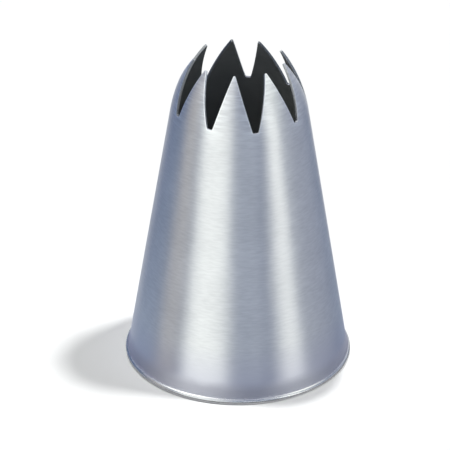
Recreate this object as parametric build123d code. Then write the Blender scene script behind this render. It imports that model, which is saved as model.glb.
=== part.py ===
from build123d import *
from math import asin, atan2, cos, degrees, pi, radians, sin, sqrt, tan
import os

# A seamless piping nozzle with a closed star outlet, drawn from one sheet of stainless steel.
# Millimetres. It stands on its rim with +Z up, and the origin is on its axis, level with its seat.

# Whole nozzle
base_diameter = 35.8
height = 50.0
wall = 0.4
cone_taper_angle = 9.7

# Rolled rim round the base, a bead that stands out from the foot of the cone
bead_diameter = 1.0
bead_flattening = 0.07
rim_overhang = 0.32
flare_radius = 0.6
entry_chamfer = 0.12

# Crown of teeth, cut into the top of the cone and bent inwards
tooth_count = 9
crown_height = 8.6
crown_bend_radius = 21.0
tooth_height = 7.6
tooth_tip_width = 0.4
notch_root_width = 0.8
notch_corner_radius = 0.22

# The most of a notch root's width that one of its rounded corners may take
corner_share = 0.4

# How far the notch cutters reach past the sheet, and how many sections shape one cutter
cutter_overrun = 0.2
cutter_sections = 7

taper = radians(cone_taper_angle)
bead_radius = bead_diameter / 2
cone_foot_radius = base_diameter / 2 - rim_overhang
bend_z = height - crown_height
notch_root_z = height - tooth_height

# Directions in the half section, where X is the radius and Y the height
out_of_cone = Vector(cos(taper), sin(taper))
up_the_cone = Vector(-sin(taper), cos(taper))

# The outer face bends inwards along an arc that is tangent to the cone
bend_line = Vector(cone_foot_radius - bend_z * tan(taper), bend_z)
bend_centre = bend_line - out_of_cone * crown_bend_radius


def outer_radius(z):
    """Radius of the outer face of the sheet at a height, on the cone or on the bent crown."""
    if z <= bend_z:
        return cone_foot_radius - z * tan(taper)
    return bend_centre.X + sqrt(crown_bend_radius**2 - (z - bend_centre.Y) ** 2)


def length_past_bend(z):
    """Distance along the sheet from the bend line to a height, negative below the bend."""
    if z <= bend_z:
        return (z - bend_z) / cos(taper)
    return crown_bend_radius * (asin((z - bend_centre.Y) / crown_bend_radius) - taper)


def tooth_half_width(z):
    """Half the width of a tooth at a height. Its flanks were straight before it was bent."""
    root_half_width = outer_radius(notch_root_z) * pi / tooth_count - notch_root_width / 2
    tip_half_width = tooth_tip_width / 2
    rise = length_past_bend(z) - length_past_bend(notch_root_z)
    full_rise = length_past_bend(height) - length_past_bend(notch_root_z)
    return root_half_width + (tip_half_width - root_half_width) * rise / full_rise


def arc_between(centre, start, end):
    """The shorter arc about a centre from one point to another."""
    start_angle = degrees(atan2(start.Y - centre.Y, start.X - centre.X))
    end_angle = degrees(atan2(end.Y - centre.Y, end.X - centre.X))
    sweep = (end_angle - start_angle + 180) % 360 - 180
    return CenterArc(centre, (start - centre).length, start_angle, sweep)


def rim_outline():
    """Outer side of the foot, from the cone down to the seat: a hollow flare, then the bead."""
    bead_centre = Vector(base_diameter / 2 - bead_radius, bead_radius - bead_flattening)

    # The flare's centre is one flare radius off the cone, and the flare touches the bead
    offset_foot = Vector(cone_foot_radius, 0) + out_of_cone * flare_radius
    to_offset_foot = offset_foot - bead_centre
    along = to_offset_foot.dot(up_the_cone)
    reach = flare_radius + bead_radius
    rise = sqrt(along**2 - to_offset_foot.dot(to_offset_foot) + reach**2) - along
    flare_centre = offset_foot + up_the_cone * rise
    flare_top = flare_centre - out_of_cone * flare_radius
    bead_top = bead_centre + (flare_centre - bead_centre).normalized() * bead_radius

    return [
        Line(bend_line, flare_top),
        arc_between(flare_centre, flare_top, bead_top),
        arc_between(bead_centre, bead_top, seat_edge()),
    ]


def seat_edge():
    """Outer edge of the flat seat, where the underside of the bead is pressed flat."""
    half_flat = sqrt(bead_radius**2 - (bead_radius - bead_flattening) ** 2)
    return Vector(base_diameter / 2 - bead_radius + half_flat, 0)


def entry_outline():
    """The seat and the inner face of the cone, with a small chamfer between them."""
    inner_foot = Vector(cone_foot_radius - wall / cos(taper), 0)
    edge_on_seat = inner_foot + Vector(entry_chamfer, 0)
    edge_on_wall = inner_foot + up_the_cone * entry_chamfer
    inner_bend = bend_line - out_of_cone * wall

    return [
        Line(seat_edge(), edge_on_seat),
        Line(edge_on_seat, edge_on_wall),
        Line(edge_on_wall, inner_bend),
    ]


def crown_outline():
    """The bent top of the sheet, inner and outer face, with its end cut square to the sheet."""
    inner_bend = bend_line - out_of_cone * wall
    outer_tip = Vector(outer_radius(height), height)
    inner_tip = outer_tip - (outer_tip - bend_centre).normalized() * wall

    return [
        arc_between(bend_centre, inner_bend, inner_tip),
        Line(inner_tip, outer_tip),
        arc_between(bend_centre, outer_tip, bend_line),
    ]


def sheet_shell():
    """The drawn nozzle before its notches are cut, turned from the half section of the sheet."""
    section = make_face(rim_outline() + entry_outline() + crown_outline())
    return revolve(Plane.XZ * section, Axis.Z)


def notch_section(z):
    """Level slice of a notch cutter, a wedge that points at the axis and spans the sheet."""
    radius = outer_radius(z)
    half_angle = pi / tooth_count - tooth_half_width(z) / radius
    near = (radius - 2 * wall - cutter_overrun) * cos(half_angle)
    far = radius + cutter_overrun
    corners = [(x, side * x * tan(half_angle)) for x, side in ((near, -1), (far, -1), (far, 1), (near, 1))]
    return Plane.XY.offset(z) * make_face(Polyline(*corners, close=True))


def notch_cutter():
    """The solid that cuts one notch, with rounded corners at the notch's root."""
    step = (height + cutter_overrun - notch_root_z) / (cutter_sections - 1)
    body = loft([notch_section(notch_root_z + step * i) for i in range(cutter_sections)])
    floor_edges = body.faces().sort_by(Axis.Z)[0].edges()
    root_corners = floor_edges.sort_by(lambda edge: abs(edge.center().Y))[-2:]
    return fillet(root_corners, min(notch_corner_radius, notch_root_width * corner_share))


def nozzle_shell():
    """The whole nozzle: the turned sheet less one notch between each pair of teeth."""
    cutter = notch_cutter()
    notches = [cutter.rotate(Axis.Z, 360 / tooth_count * i) for i in range(tooth_count)]
    return sheet_shell() - notches


def main():
    """Write the nozzle's one piece."""
    os.makedirs("parts", exist_ok=True)
    export_step(nozzle_shell(), "parts/nozzle_shell.step")


main()
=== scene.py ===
from collections import namedtuple
from math import asin, atan, atan2, cos, degrees, exp, pi, radians, sin, sqrt, tan

import bpy
from mathutils import Matrix, Vector
from mathutils.kdtree import KDTree


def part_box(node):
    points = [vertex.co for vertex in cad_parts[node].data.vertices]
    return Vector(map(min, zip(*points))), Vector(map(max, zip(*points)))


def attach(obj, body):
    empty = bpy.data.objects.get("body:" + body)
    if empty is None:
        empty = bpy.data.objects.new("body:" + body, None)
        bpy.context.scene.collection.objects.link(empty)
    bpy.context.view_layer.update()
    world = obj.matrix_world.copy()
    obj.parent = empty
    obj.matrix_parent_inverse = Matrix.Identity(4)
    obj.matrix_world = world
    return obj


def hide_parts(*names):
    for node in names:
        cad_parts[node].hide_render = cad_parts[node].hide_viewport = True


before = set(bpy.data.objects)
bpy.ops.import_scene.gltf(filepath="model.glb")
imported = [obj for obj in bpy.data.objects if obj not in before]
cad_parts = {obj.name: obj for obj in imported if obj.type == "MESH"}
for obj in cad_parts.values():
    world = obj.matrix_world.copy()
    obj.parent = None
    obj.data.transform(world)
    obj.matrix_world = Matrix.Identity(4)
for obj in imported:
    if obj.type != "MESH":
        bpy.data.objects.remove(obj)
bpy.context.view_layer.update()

# A piping nozzle with a closed star outlet, in brushed stainless steel, on a white table.
# Metres. It stands on its rim with +Z up, and the origin is on its axis, level with its seat.

MM = 0.001
CAD_NODE = "nozzle_shell"
box_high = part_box(CAD_NODE)[1]

# Sheet, cone and rolled rim, as in the solid
height = box_high.z
base_radius = box_high.x
wall = 0.4 * MM
taper = radians(9.7)
rim_overhang = 0.32 * MM
bead_radius = 0.5 * MM
bead_flattening = 0.07 * MM
flare_radius = 0.6 * MM
entry_chamfer = 0.12 * MM

# Crown of teeth, as in the solid, but with worn, round tips and with cut edges rounded by rubbing
tooth_count = 9
bend_z = height - 8.6 * MM
bend_radius = 21.0 * MM
notch_root_z = height - 7.6 * MM
tooth_tip_width = 0.28 * MM
notch_root_width = 0.8 * MM
notch_corner_radius = 0.22 * MM
edge_rounding = 0.05 * MM

# How the press left each tooth, from the one at 20 degrees on: its tip turned by so many degrees,
# and leant inwards by so many mm, or outwards where that is negative
TEETH = ((2.5, -0.1), (1.6, -0.05), (-3.8, -0.25), (-8, -0.35), (0, 0), (0, 0), (0, 0), (0, 0), (0, 0))

# Powers by which that turn and that lean grow towards the tip
turn_growth = 1.5
lean_growth = 2

# How it left each notch, from the one at 40 degrees on: its root turned by so many degrees and raised
# by so many mm, and how bright the painted highlight on the cut edge is on its first side and on its
# second
Notch = namedtuple("Notch", "turn rise first_shine second_shine")
NOTCHES = (
    Notch(-2.5, 0.5, 0.6, 0),
    Notch(-1.1, 0.18, 0.2, 0.2),
    Notch(0, 0, 0, 0.6),
    Notch(0, 0, 0.2, 0.6),
    Notch(2.6, 0, 0.15, 0.55),
    Notch(1.0, 0, 1.0, 0.6),
    Notch(0, -0.25, 0.6, 0.6),
    Notch(1.2, -0.25, 0.5, 0.45),
    Notch(0, 0, 0.5, 0.2),
)

# That unevenness fades out over so much of the cone below the roots. Across a tooth it passes from
# one notch to the next, apart from so large a share of the sector at each end.
settling = 6.0 * MM
held_share = 0.06

# Mesh density. The rows nearest to the roots follow them, a gap above the level rows of the cone, and
# nose_gathering sets how late the columns of a tooth gather to its nose.
tooth_columns = 24
crowding = 0.8
corner_columns = 5
flat_columns = 3
rim_steps = 16
cone_rows = 24
row_gap = 1.0 * MM
root_blend = 0.9 * MM
root_row_shares = (1, 0.65, 0.4, 0.25, 0.14, 0.06, 0)
crown_rows = 36
nose_gathering = 12
edge_steps = 3

# Finishes of the steel: the tones of the brush marks, the colour where it is rubbed bright (on the cut
# edges, the colour of a painted highlight), the roughness of the marks, how many marks it has per metre
# along each axis, and what else it shows
FINISHES = {
    "brushed_steel": {
        "tones": ((0.56, 0.57, 0.60), (0.68, 0.69, 0.72)),
        "wear_and_highlight": (0.80, 0.82, 0.85),
        "roughness": (0.36, 0.40),
        "streaks": (700, 700, 3600),
        "anisotropy": 0.88,
        "scuffs": 0.6,
        "dull_foot": 0.28,
        "dent": 0.15,
    },
    # The inside's dark tones are painted shade of the hollow; its high roughness is its duller finish
    "inner_steel": {
        "tones": ((0.20, 0.21, 0.215), (0.26, 0.27, 0.275)),
        "wear_and_highlight": (0.3, 0.31, 0.32),
        "roughness": (0.7, 0.8),
        "streaks": (400, 400, 2500),
    },
    # Cut edges: their dark tones are painted shade, and their bright colour is a painted highlight, as
    # strong on each side as NOTCHES gives it
    "cut_edge": {
        "tones": ((0.12, 0.13, 0.15), (0.17, 0.18, 0.20)),
        "wear_and_highlight": (0.96, 0.97, 0.98),
        "roughness": (0.35, 0.5),
        "streaks": (3500, 3500, 3500),
        "cut": True,
    },
    "rolled_rim": {
        "tones": ((0.55, 0.56, 0.59), (0.69, 0.70, 0.73)),
        "wear_and_highlight": (0.8, 0.82, 0.85),
        "roughness": (0.25, 0.29),
        "streaks": (450, 450, 3500),
        "dent": 0.05,
    },
}
OUTER, INNER, CUT, BEAD = range(len(FINISHES))

# From along the brush marks to across them, as a share of a full turn
quarter_turn = 0.25

# Grain of the stains, dents and scuffs, in spots per metre, and how fine the noise of marks and of
# dents is
stain_grain = (180, 180, 180)
dent_grain = (110, 110, 80)
scuff_grain = (260, 260, 2600)
mark_detail = 2
dent_detail = 1

# Noise from which each kind of mark starts, and at which it is full
streak_noise = (0.3, 0.7)
stain_noise = (0.35, 0.65)
scuff_noise = (0.47, 0.62)

# Share of the brush marks in the steel's tone, the rest being stains, and their depth in mm
streak_share = 0.7
streak_depth = 0.004

# Rubbed steel, in mm from the nearest cut edge: bright up to the first distance, and gone at the
# second. Deep brush marks keep half of it off. No distance is counted beyond the farthest one.
rubbed_reach = (0.03, 0.22)
scuffed_reach = (0.3, 2.2)
farthest_from_edge = 4.0
deep_marks = (0, 0.6)
rubbed_in_marks = (0.5, 1)

# Foot of the cone: a dull band, and painted shade that darkens it and tints it violet, each full up
# to a height and gone at another
dull_heights = (2.1 * MM, 3.5 * MM)
foot_shade_heights = (3.2 * MM, 9.0 * MM)
foot_waver = 0.2 * MM
foot_shade_color = (0.545, 0.55, 0.625)

# Camera, worked out from the photograph, whose frame is square
focal_pixels = 2223.0
frame_pixels = 450
sensor_width = 36.0
camera_azimuth = radians(-93.2)
camera_elevation = radians(27.53)
camera_distance = 345.8 * MM
camera_roll = radians(0.22)
aim_right = -2.12 * MM
aim_height = 21.73 * MM
nearest_seen = 10 * MM
farthest_seen = 20.0

# Lamps that light the table, one from the right and one from behind on the left: azimuth, elevation
# and softness in degrees, strength. Each one fills the shadow of the other.
TABLE_LAMPS = ((9.5, 67, 5.5, 1.84), (122, 77, 3, 1.73))
lamp_color = (0.99, 1, 0.995)
ambient_color = (0.02, 0.02, 0.02, 1)
background_color = (1, 1, 1, 1)

# White table, which lies a little below the seat so that no two faces meet
floor_color = (0.93, 0.93, 0.93, 1)
floor_reach = 3.0
floor_drop = 0.01 * MM
floor_corners = 64

# Soft panels of the light tent, as the metal sees them. Each one: azimuth from the camera to its
# right, elevation, half width and half height in degrees, lean to the right per degree up, colour.
TENT_PANELS = {
    "window": (-35.8, -40.6, 26.2, 99.9, 0.02, (1.37, 1.35, 1.13)),
    "window_top": (-75.6, 67.0, 19.5, 31.0, -0.18, (3.41, 3.41, 2.92)),
    "strip": (50.9, 5.3, 9.6, 21.7, -0.63, (2.26, 2.23, 1.90)),
    "strip_top": (85.0, 49.4, 20.6, 25.5, 0.75, (1.40, 1.42, 1.13)),
    "left_wall": (-82.0, 0.9, 13.0, 29.9, -0.42, (0.57, 0.47, 0.28)),
    "left_table": (-151.0, -45.9, 51.5, 15.0, -0.90, (3.60, 3.95, 3.95)),
    "right_table": (74.0, -24.2, 46.4, 45.9, 0.90, (0.40, 0.38, 0.325)),
    "front_table": (10.5, -1.5, 18.2, 7.0, 0.35, (1.60, 1.60, 1.41)),
    "ceiling": (0.1, 56.7, 527.6, 15.8, -0.90, (0.55, 0.51, 0.46)),
    "left_top": (-150, 55, 30, 28, 0, (0.9, 0.9, 1.0)),
    "right_top": (145, 55, 25, 28, 0, (0.5, 0.5, 0.55)),
    "back_wall": (173.5, -4.0, 29.5, 28.6, -0.90, (0.72, 0.68, 0.55)),
}
tent_shade = (0.16, 0.215, 0.345)
tent_radius = 0.6
tent_columns = 180
tent_rows = 90

# The share of its half width that each panel takes up, and how sharply its light falls off at its
# sides, and at its top and bottom
width_share = 0.985
side_sharpness = 5
top_sharpness = 3

# Table in the nozzle's own shade, as the underside of the bead mirrors it. Each ring: how far past the
# rim it is in mm, its light, and its light at the left, where the rings are drawn in.
SHADE_RINGS = ((-0.25, 0.80, 0.46), (0.2, 0.34, 0.30), (0.6, 0.27, 0.5), (1.2, 0.42, 0.9))
left_azimuth = camera_azimuth - radians(105)
left_drawn_in = 0.65
shade_columns = 96

# Directions and places in the half section, where x is the radius and y the height
out_of_cone = Vector((cos(taper), sin(taper)))
up_the_cone = Vector((-sin(taper), cos(taper)))
cone_foot_radius = base_radius - rim_overhang
bend_line = Vector((cone_foot_radius - bend_z * tan(taper), bend_z))
bend_centre = bend_line - out_of_cone * bend_radius


def sheet_point(s, depth=0.0):
    """Radius and height of a point of the sheet: s along it past the bend, depth below its outer face."""
    angle = taper + max(s, 0.0) / bend_radius
    normal = Vector((cos(angle), sin(angle)))
    on_face = bend_centre + normal * bend_radius + up_the_cone * min(s, 0.0)
    return on_face - normal * depth


def crown_length(z):
    """Length along the sheet from the bend line up to a height."""
    return bend_radius * (asin((z - bend_centre.y) / bend_radius) - taper)


# A tooth's flanks were straight before the sheet was bent, and meet its tip in one round nose
sector = 2 * pi / tooth_count
root_s = crown_length(notch_root_z)
tip_s = crown_length(height)
root_half_width = sheet_point(root_s).x * sector / 2 - notch_root_width / 2
flank_slope = (root_half_width - tooth_tip_width / 2) / (tip_s - root_s)
flank_angle = atan(flank_slope)
nose_radius = tooth_tip_width / 2 * cos(flank_angle) / (1 - flank_slope * cos(flank_angle))
nose_s = tip_s - nose_radius
nose_reach = nose_radius - edge_rounding

# Seen from the middle of a notch the same flank is less steep, because the sheet is conical
notch_angle = atan(flank_slope - sin(taper + root_s / bend_radius) * sector / 2)
corner_x = notch_root_width / 2 - notch_corner_radius * tan((pi / 2 - notch_angle) / 2)
corner_s = root_s + notch_corner_radius
corner_reach = notch_corner_radius + edge_rounding
tooth_foot_s = corner_s - corner_reach * sin(notch_angle)


def half_width(s):
    """Half the width of a tooth's face, inside its rounded edge."""
    return root_half_width - flank_slope * (s - root_s) - edge_rounding / cos(flank_angle)


def across_tooth(i):
    """Place of column i across a tooth, from -1 to 1. The columns crowd towards the flanks."""
    share = 2 * i / tooth_columns - 1
    return (1 - crowding) * share + crowding * sin(pi / 2 * share)


def out_of_tooth(u):
    """Direction out of the metal where the column at place u ends, as an angle in the sheet."""
    return pi / 2 - u * (pi / 2 - flank_angle)


def tooth_point(u, share):
    """A point of the column at place u, a share of the way up: its x from the middle, and its s."""
    top_s = nose_s + nose_reach * sin(out_of_tooth(u))
    top_u = nose_reach * cos(out_of_tooth(u)) / half_width(top_s)
    s = tooth_foot_s + (top_s - tooth_foot_s) * share
    return (u + (top_u - u) * share**nose_gathering) * half_width(s), s


def notch_columns():
    """Columns across one notch: x from its middle, s, and the direction out of the metal there."""
    left = []
    for i in range(1, corner_columns + 1):
        turn = notch_angle + (pi / 2 - notch_angle) * i / corner_columns
        left.append((-corner_x - corner_reach * cos(turn), corner_s - corner_reach * sin(turn), turn))
    shares = [2 * i / flat_columns - 1 for i in range(1, flat_columns)]
    flat = [(corner_x * share, root_s - edge_rounding, pi / 2) for share in shares]
    return left + flat + [(-x, s, pi - turn) for x, s, turn in reversed(left)]


def smooth(share):
    """A share eased in and out, and held between 0 and 1."""
    share = min(max(share, 0), 1)
    return share * share * (3 - 2 * share)


def pressed(s, depth, azimuth):
    """Where the press left a point of the sheet: its radius and height, and its azimuth."""
    k = int(azimuth / sector) % tooth_count
    across = smooth((azimuth / sector % 1 - held_share) / (1 - 2 * held_share))
    near_root = 1 - (s - root_s) / (tip_s - root_s) if s > root_s else max(0, 1 - (root_s - s) / settling)
    up_the_tooth = max(0, (s - tooth_foot_s) / (tip_s - tooth_foot_s))

    before, after = NOTCHES[k - 1], NOTCHES[k]
    tip_turn, tip_lean = TEETH[k]
    root_turn = before.turn + (after.turn - before.turn) * across
    root_rise = before.rise + (after.rise - before.rise) * across
    turn = root_turn * near_root + tip_turn * up_the_tooth**turn_growth
    rise = root_rise * near_root
    lean = tip_lean * up_the_tooth**lean_growth
    return sheet_point(s + rise * MM, depth) - Vector((lean * MM, 0)), azimuth + radians(turn)


def arc(centre, start, end):
    """Points along the shorter arc about a centre, from start to end."""
    first = atan2(start.y - centre.y, start.x - centre.x)
    last = atan2(end.y - centre.y, end.x - centre.x)
    sweep = (last - first + pi) % (2 * pi) - pi
    angles = [first + sweep * i / rim_steps for i in range(rim_steps + 1)]
    return [centre + Vector((cos(a), sin(a))) * (start - centre).length for a in angles]


def foot_outline():
    """Half section of the foot: from the entry chamfer under the bead to its top, and the hollow flare."""
    inner_foot = Vector((cone_foot_radius - wall / cos(taper), 0))
    edge_on_seat = inner_foot + Vector((entry_chamfer, 0))
    edge_on_wall = inner_foot + up_the_cone * entry_chamfer
    bead_centre = Vector((base_radius - bead_radius, bead_radius - bead_flattening))
    seat_edge = Vector((bead_centre.x + sqrt(bead_radius**2 - bead_centre.y**2), 0))

    # The flare's centre is one flare radius off the cone, and the flare touches the bead
    offset_foot = Vector((cone_foot_radius, 0)) + out_of_cone * flare_radius
    to_foot = offset_foot - bead_centre
    along = to_foot.dot(up_the_cone)
    rise = sqrt(along**2 - to_foot.length_squared + (flare_radius + bead_radius) ** 2) - along
    flare_centre = offset_foot + up_the_cone * rise
    flare_top = flare_centre - out_of_cone * flare_radius
    bead_top = bead_centre + (flare_centre - bead_centre).normalized() * bead_radius

    flare = arc(flare_centre, bead_top, flare_top)
    return [edge_on_wall, edge_on_seat] + arc(bead_centre, seat_edge, bead_top), flare[1:]


class Shell:
    """The nozzle's mesh while it is being made: its points, its faces and the finish of each face.

    It notes which points bound a cut edge, and how bright the painted highlight is at each point of the
    cut edges."""

    def __init__(self):
        self.points, self.faces, self.finishes = [], [], []
        self.edge, self.shine = [], {}

    def add(self, radius_and_height, azimuth):
        """Number of a new point."""
        radius, z = radius_and_height
        self.points.append((radius * cos(azimuth), radius * sin(azimuth), z))
        return len(self.points) - 1

    def strip(self, left, right, finish):
        """Faces between two lists of points that run side by side. The outside is on the viewer's side."""
        for a, b, c, d in zip(left, right, right[1:], left[1:]):
            self.faces.append((a, b, c, d))
            self.finishes.append(finish)


def make_columns():
    """Columns round the whole nozzle: the azimuth of each, and the s at which it ends."""
    foot_angle = half_width(tooth_foot_s) / sheet_point(tooth_foot_s).x
    columns = []
    for k in range(tooth_count):
        for i in range(tooth_columns + 1):
            columns.append((sector * (k + 0.5) + across_tooth(i) * foot_angle, tooth_foot_s))
        for x, s, _ in notch_columns():
            columns.append((sector * (k + 1) + x / sheet_point(s).x, s))
    return columns


def column_rows(flare_s, top_s):
    """The s of each row of a column, from the first one above the flare up to the column's end."""
    drops = [root_blend * share for share in root_row_shares]
    near_root = [tooth_foot_s - drop + (top_s - tooth_foot_s) * (1 - drop / root_blend) for drop in drops]
    on_cone = [flare_s * (1 - i / cone_rows) for i in range(1, cone_rows)]
    return [s for s in on_cone if s < near_root[0] - row_gap] + near_root


def add_walls(shell):
    """Foot, cone and crown up to the teeth. Gives the end points of the columns, outside and inside."""
    under, flare = foot_outline()
    flare_s = -(bend_line - flare[-1]).length
    outer, rim, inner = [], [], []
    for azimuth, top_s in make_columns():
        rows = column_rows(flare_s, top_s)
        on_flare = [shell.add(point, azimuth) for point in flare]
        outer.append(on_flare + [shell.add(*pressed(s, 0, azimuth)) for s in rows])
        rim.append([shell.add(point, azimuth) for point in under] + on_flare[:1])
        inner.append(rim[-1][:1] + [shell.add(*pressed(s, wall, azimuth)) for s in [flare_s] + rows])

    for i in range(len(outer)):
        shell.strip(outer[i - 1], outer[i], OUTER)
        shell.strip(rim[i - 1], rim[i], BEAD)
        shell.strip(inner[i], inner[i - 1], INNER)
    return [line[-1] for line in outer], [line[-1] for line in inner]


def add_tooth_face(shell, k, feet, depth):
    """One face of tooth k, which grows from its foot points and narrows to its nose."""
    columns = []
    for i, foot in enumerate(feet):
        column = [foot]
        for row in range(1, crown_rows + 1):
            x, s = tooth_point(across_tooth(i), row / crown_rows)
            column.append(shell.add(*pressed(s, depth, sector * (k + 0.5) + x / sheet_point(s).x)))
        columns.append(column)
    for left, right in zip(columns, columns[1:]):
        if depth:
            shell.strip(right, left, INNER)
        else:
            shell.strip(left, right, OUTER)
    return columns


# A place on the cut edge: its points on both faces, the azimuth that its x is measured from, its x and
# s, the direction out of the metal as an angle in the sheet, and how bright its painted highlight is
EdgePlace = namedtuple("EdgePlace", "outer inner middle x s out_of_metal shine")


def tooth_edge(k, outside, inside):
    """Cut edge of tooth k, up its first flank, over its nose and down its second flank."""
    first, second = NOTCHES[k - 1].second_shine, NOTCHES[k].first_shine
    # Painted highlight on each flank, and the mean of both over the nose
    flank_shine = {0: first, tooth_columns: second}
    nose_shine = (first + second) / 2
    rows = range(crown_rows + 1)
    first_flank = [(0, row) for row in rows]
    nose = [(i, crown_rows) for i in range(1, tooth_columns)]
    second_flank = [(tooth_columns, row) for row in reversed(rows)]
    places = []
    for i, row in first_flank + nose + second_flank:
        u = across_tooth(i)
        x, s = tooth_point(u, row / crown_rows)
        ends = outside[i][row], inside[i][row]
        shine = flank_shine.get(i, nose_shine)
        places.append(EdgePlace(*ends, sector * (k + 0.5), x, s, out_of_tooth(u), shine))
    return places


def notch_edge(k, outside, inside):
    """Cut edge across the notch after tooth k."""
    places = []
    for outer, inner, (x, s, turn) in zip(outside, inside, notch_columns()):
        # Painted highlight on this side of the notch
        shine = NOTCHES[k].first_shine if x < 0 else NOTCHES[k].second_shine
        places.append(EdgePlace(outer, inner, sector * (k + 1), x, s, turn, shine))
    return places


def edge_section():
    """Across a cut edge, from the outer face to the inner: how far it stands out, and its depth."""
    turns = [pi / 2 * i / edge_steps for i in range(edge_steps + 1)]
    outer = [(edge_rounding * sin(a), edge_rounding * (1 - cos(a))) for a in turns]
    return outer + [(out, wall - depth) for out, depth in reversed(outer)]


def add_cut_edge(shell, places):
    """The rounded edge that closes the shell all the way round teeth and notches."""
    ribs = []
    for outer, inner, middle, x, s, out_of_metal, shine in places:
        rib = [outer]
        for out, depth in edge_section()[1:-1]:
            azimuth = middle + (x + cos(out_of_metal) * out) / sheet_point(s).x
            rib.append(shell.add(*pressed(s + sin(out_of_metal) * out, depth, azimuth)))
        rib.append(inner)
        ribs.append(rib)
        shell.edge += [outer, inner]
        shell.shine.update(dict.fromkeys(rib, shine))
    for i in range(len(ribs)):
        shell.strip(ribs[i - 1], ribs[i], CUT)


def make_shell():
    """The whole nozzle as one closed mesh, outside and inside."""
    shell = Shell()
    outer, inner = add_walls(shell)
    places = []
    for k in range(tooth_count):
        first = k * len(outer) // tooth_count
        tooth = slice(first, first + tooth_columns + 1)
        notch = slice(tooth.stop, (k + 1) * len(outer) // tooth_count)
        outside = add_tooth_face(shell, k, outer[tooth], 0)
        inside = add_tooth_face(shell, k, inner[tooth], wall)
        places += tooth_edge(k, outside, inside) + notch_edge(k, outer[notch], inner[notch])
    add_cut_edge(shell, places)
    return shell


def edge_distances(shell):
    """How far each point of the mesh is from the nearest cut edge, in mm."""
    tree = KDTree(len(shell.edge))
    for i in shell.edge:
        tree.insert(shell.points[i], i)
    tree.balance()
    return [min(tree.find(point)[2] / MM, farthest_from_edge) for point in shell.points]


def add_object(name, data):
    """A new object in the scene."""
    made = bpy.data.objects.new(name, data)
    bpy.context.scene.collection.objects.link(made)
    return made


def add_nozzle():
    """The nozzle's mesh, with its finishes."""
    shell = make_shell()
    mesh = bpy.data.meshes.new("nozzle")
    mesh.from_pydata(shell.points, [], shell.faces)
    mesh.attributes.new("from_edge", "FLOAT", "POINT").data.foreach_set("value", edge_distances(shell))
    # The cut edges' painted highlight, held on each point
    shine = [shell.shine.get(i, 0) for i in range(len(shell.points))]
    mesh.attributes.new("shine", "FLOAT", "POINT").data.foreach_set("value", shine)
    mesh.polygons.foreach_set("material_index", shell.finishes)
    mesh.polygons.foreach_set("use_smooth", [True] * len(shell.faces))
    mesh.validate()
    for name, finish in FINISHES.items():
        mesh.materials.append(steel(name, **finish))
    return add_object("nozzle", mesh)


def add_node(tree, kind, inputs, **settings):
    """A shader node, its inputs set to values or joined to the outputs of other nodes."""
    made = tree.nodes.new("ShaderNode" + kind)
    for name, value in settings.items():
        setattr(made, name, value)
    for name, value in inputs.items():
        if isinstance(value, bpy.types.NodeSocket):
            tree.links.new(value, made.inputs[name])
        else:
            made.inputs[name].default_value = value
    return made


def sum_of(tree, first, second):
    """One value plus another."""
    return add_node(tree, "Math", {0: first, 1: second}, operation="ADD").outputs[0]


def product(tree, first, second):
    """One value times another."""
    return add_node(tree, "Math", {0: first, 1: second}, operation="MULTIPLY").outputs[0]


def larger(tree, first, second):
    """The larger one of two values."""
    return add_node(tree, "Math", {0: first, 1: second}, operation="MAXIMUM").outputs[0]


def blend(tree, share, first, second):
    """A colour between two others."""
    made = add_node(tree, "Mix", {"Factor": share, "A": first, "B": second}, data_type="RGBA")
    return made.outputs["Result"]


def carry(tree, value, ends, low, high):
    """A value carried over from the range between two ends to another range, and held beyond them."""
    start, end = ends
    ranges = {"From Min": start, "From Max": end, "To Min": low, "To Max": high}
    return add_node(tree, "MapRange", {"Value": value, **ranges}).outputs["Result"]


def attribute(tree, name):
    """A value that each point of the mesh holds."""
    return add_node(tree, "Attribute", {}, attribute_name=name).outputs["Fac"]


def place(tree):
    """Place on the nozzle, in its own axes."""
    return add_node(tree, "TexCoord", {}).outputs["Object"]


def grain(tree, spots, detail=mark_detail):
    """Noise about 0.5, with so many spots per metre along each axis of the nozzle."""
    stretched = add_node(tree, "Mapping", {"Vector": place(tree), "Scale": spots}).outputs["Vector"]
    return add_node(tree, "TexNoise", {"Vector": stretched, "Scale": 1, "Detail": detail}).outputs["Fac"]


def rubbed_share(tree, marks, scuffs):
    """How far a place is rubbed bright: next to the cut edges, and along scratches near them."""
    from_edge = attribute(tree, "from_edge")
    in_marks = carry(tree, marks, deep_marks, *rubbed_in_marks)
    bright_share = product(tree, carry(tree, from_edge, rubbed_reach, 1, 0), in_marks)
    if scuffs:
        scratches = carry(tree, grain(tree, scuff_grain), scuff_noise, 0, scuffs)
        scuffed = product(tree, scratches, carry(tree, from_edge, scuffed_reach, 1, 0))
        bright_share = sum_of(tree, bright_share, scuffed)
    return bright_share


def dulled(tree, stains, color, rough, dull_foot):
    """Colour and roughness, with painted violet shade and the dull band at the foot of the cone."""
    level = add_node(tree, "SeparateXYZ", {"Vector": place(tree)}).outputs["Z"]
    wavy = sum_of(tree, level, carry(tree, stains, (0, 1), -foot_waver, foot_waver))
    # Painted shade: darker and more violet towards the bottom of the cone
    foot_shaded = blend(tree, carry(tree, wavy, foot_shade_heights, 1, 0), color, (*foot_shade_color, 1))
    at_foot = carry(tree, wavy, dull_heights, 1, 0)
    return foot_shaded, sum_of(tree, rough, product(tree, at_foot, dull_foot))


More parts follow.
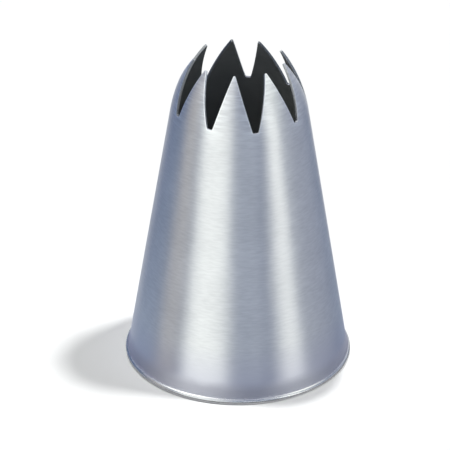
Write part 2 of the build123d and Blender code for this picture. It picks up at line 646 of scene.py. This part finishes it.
def steel(name, tones, wear_and_highlight, roughness, streaks, anisotropy=0, scuffs=0, dull_foot=0, dent=0, cut=False):
    """One finish of the steel: its brush marks, stains, rubbed edges, slight dents, painted highlight on
    cut edges and painted shade at the foot.
    """
    material = bpy.data.materials.new(name)
    material.use_nodes = True
    tree = material.node_tree
    shader = tree.nodes["Principled BSDF"]
    shader.inputs["Metallic"].default_value = 1

    marks = carry(tree, grain(tree, streaks), streak_noise, 0, 1)
    stains = carry(tree, grain(tree, stain_grain), stain_noise, 0, 1)
    tone = sum_of(tree, product(tree, marks, streak_share), product(tree, stains, 1 - streak_share))
    color = blend(tree, tone, (*tones[0], 1), (*tones[1], 1))
    rough = carry(tree, marks, (0, 1), *roughness)
    if dull_foot:
        # Painted shade at the foot of the cone, and its dull band
        color, rough = dulled(tree, stains, color, rough, dull_foot)
    # On the cut edges the bright colour is a painted highlight; elsewhere it is wear
    bright_share = attribute(tree, "shine") if cut else rubbed_share(tree, marks, scuffs)

    # The brush marks run round the nozzle, so they stretch its reflections up and down
    if anisotropy:
        tangent = add_node(tree, "Tangent", {}, direction_type="RADIAL", axis="Z").outputs["Tangent"]
        tree.links.new(tangent, shader.inputs["Tangent"])
        shader.inputs["Anisotropic"].default_value = anisotropy
        shader.inputs["Anisotropic Rotation"].default_value = quarter_turn

    relief = product(tree, marks, streak_depth)
    if dent:
        relief = sum_of(tree, relief, product(tree, grain(tree, dent_grain, dent_detail), dent))
    bump = add_node(tree, "Bump", {"Strength": 1, "Distance": MM, "Height": relief}).outputs["Normal"]
    tree.links.new(blend(tree, bright_share, color, (*wear_and_highlight, 1)), shader.inputs["Base Color"])
    tree.links.new(rough, shader.inputs["Roughness"])
    tree.links.new(bump, shader.inputs["Normal"])
    return material


def tent_light(azimuth, elevation):
    """Colour of the tent in a direction, in degrees, with the azimuth from the camera to its right."""
    light = Vector(tent_shade)
    for middle, level, half_across, half_up, lean, color in TENT_PANELS.values():
        up = elevation - level
        across = (azimuth - middle - lean * up + 180) % 360 - 180
        side_fall = abs(across / half_across / width_share) ** side_sharpness
        top_fall = abs(up / half_up) ** top_sharpness
        light += Vector(color) * exp(-side_fall - top_fall)
    return (*light, 1)


def ring_faces(rings, columns):
    """Faces between so many rings of points, each of so many columns."""
    faces = []
    for ring in range(rings - 1):
        for i in range(columns):
            a = ring * columns + i
            b = ring * columns + (i + 1) % columns
            faces.append((a, a + columns, b + columns, b))
    return faces


def add_glow(name, points, faces, colors, material):
    """A shape that sheds light on the metal alone, and casts no shadow."""
    mesh = bpy.data.meshes.new(name)
    mesh.from_pydata(points, [], faces)
    mesh.attributes.new("light", "FLOAT_COLOR", "POINT").data.foreach_set("color", colors)
    mesh.materials.append(material)
    glow = add_object(name, mesh)
    glow.visible_camera = False
    glow.visible_diffuse = False
    glow.visible_shadow = False
    glow.visible_transmission = False


def studio_light():
    """Light in the colour that each point of its shape holds."""
    material = bpy.data.materials.new("studio_light")
    material.use_nodes = True
    tree = material.node_tree
    tree.nodes.clear()
    color = add_node(tree, "Attribute", {}, attribute_name="light").outputs["Color"]
    glow = add_node(tree, "Emission", {"Color": color}).outputs["Emission"]
    add_node(tree, "OutputMaterial", {"Surface": glow})
    material.cycles.emission_sampling = "NONE"
    return material


def add_tent(material):
    """Studio tent with soft strip lights, round the camera too."""
    points, colors = [], []
    for row in range(tent_rows + 1):
        elevation = -pi / 2 + pi * row / tent_rows
        flat = tent_radius * cos(elevation)
        for i in range(tent_columns):
            turn = -pi + 2 * pi * i / tent_columns
            azimuth = camera_azimuth + turn
            points.append((flat * cos(azimuth), flat * sin(azimuth), tent_radius * sin(elevation)))
            colors += tent_light(degrees(turn), degrees(elevation))
    add_glow("tent", points, ring_faces(tent_rows + 1, tent_columns), colors, material)


def add_shade(material):
    """Rings of table in the nozzle's own shade, which the underside of the bead mirrors."""
    points, colors = [], []
    for reach, light, left_light in SHADE_RINGS:
        for i in range(shade_columns):
            azimuth = 2 * pi * i / shade_columns
            to_the_left = max(0, cos(azimuth - left_azimuth)) ** 2
            radius = base_radius + reach * MM * (1 - left_drawn_in * to_the_left)
            level = light + (left_light - light) * to_the_left
            points.append((radius * cos(azimuth), radius * sin(azimuth), 0))
            colors += [level, level, level, 1]
    add_glow("shade", points, ring_faces(len(SHADE_RINGS), shade_columns), colors, material)


def white_table():
    """Plain matt white."""
    material = bpy.data.materials.new("white_table")
    material.use_nodes = True
    shader = material.node_tree.nodes["Principled BSDF"]
    shader.inputs["Base Color"].default_value = floor_color
    shader.inputs["Roughness"].default_value = 1
    shader.inputs["Specular IOR Level"].default_value = 0
    return material


def add_floor(name, reach, z, mirrored, material):
    """Disc of table, with whether the metal mirrors it."""
    turns = [2 * pi * i / floor_corners for i in range(floor_corners)]
    corners = [(reach * cos(a), reach * sin(a), z) for a in turns]
    mesh = bpy.data.meshes.new(name)
    mesh.from_pydata(corners, [], [tuple(range(floor_corners))])
    mesh.materials.append(material)
    floor = add_object(name, mesh)
    floor.visible_glossy = mirrored


def add_lamps():
    """Lamps for the table, which the metal doesn't mirror."""
    for number, (azimuth, elevation, softness, strength) in enumerate(TABLE_LAMPS):
        sun = bpy.data.lights.new(f"table_lamp_{number}", "SUN")
        sun.energy = strength
        sun.color = lamp_color
        sun.angle = radians(softness)
        lamp = add_object(sun.name, sun)
        lamp.visible_glossy = False
        tilt = Matrix.Rotation(radians(90 - elevation), 4, "Y")
        lamp.matrix_world = Matrix.Rotation(radians(azimuth), 4, "Z") @ tilt


def add_world():
    """White to the camera and in mirror images, and next to no light on the rest."""
    world = bpy.data.worlds.new("studio")
    bpy.context.scene.world = world
    world.use_nodes = True
    tree = world.node_tree
    tree.nodes.clear()
    ray = add_node(tree, "LightPath", {}).outputs
    seen = ray["Is Camera Ray"]
    for kind in ("Is Glossy Ray", "Is Transmission Ray"):
        seen = larger(tree, seen, ray[kind])
    color = blend(tree, seen, ambient_color, background_color)
    back = add_node(tree, "Background", {"Color": color}).outputs["Background"]
    add_node(tree, "OutputWorld", {"Surface": back})


def add_camera():
    """Camera at the photograph's angle and distance."""
    optics = bpy.data.cameras.new("camera")
    optics.sensor_width = sensor_width
    optics.lens = sensor_width * focal_pixels / frame_pixels
    optics.clip_start = nearest_seen
    optics.clip_end = farthest_seen
    outward = Vector((cos(camera_azimuth), sin(camera_azimuth), 0))
    back = outward * cos(camera_elevation) + Vector((0, 0, sin(camera_elevation)))
    right = Vector((-outward.y, outward.x, 0))
    axes = Matrix((right, back.cross(right), back)).transposed() @ Matrix.Rotation(camera_roll, 3, "Z")
    aim = right * aim_right + Vector((0, 0, aim_height))
    camera = add_object("camera", optics)
    camera.matrix_world = Matrix.Translation(aim + back * camera_distance) @ axes.to_4x4()
    bpy.context.scene.camera = camera


nozzle = add_nozzle()
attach(nozzle, "root")
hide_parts(CAD_NODE)

# The metal mirrors the tent and the shade in place of the table, except for the table inside it
table = white_table()
add_floor("table", floor_reach, -floor_drop, False, table)
add_floor("table_inside", cone_foot_radius - wall, 0, True, table)
studio = studio_light()
add_tent(studio)
add_shade(studio)
add_lamps()
add_world()
add_camera()
bpy.context.scene.view_settings.view_transform = "Standard"
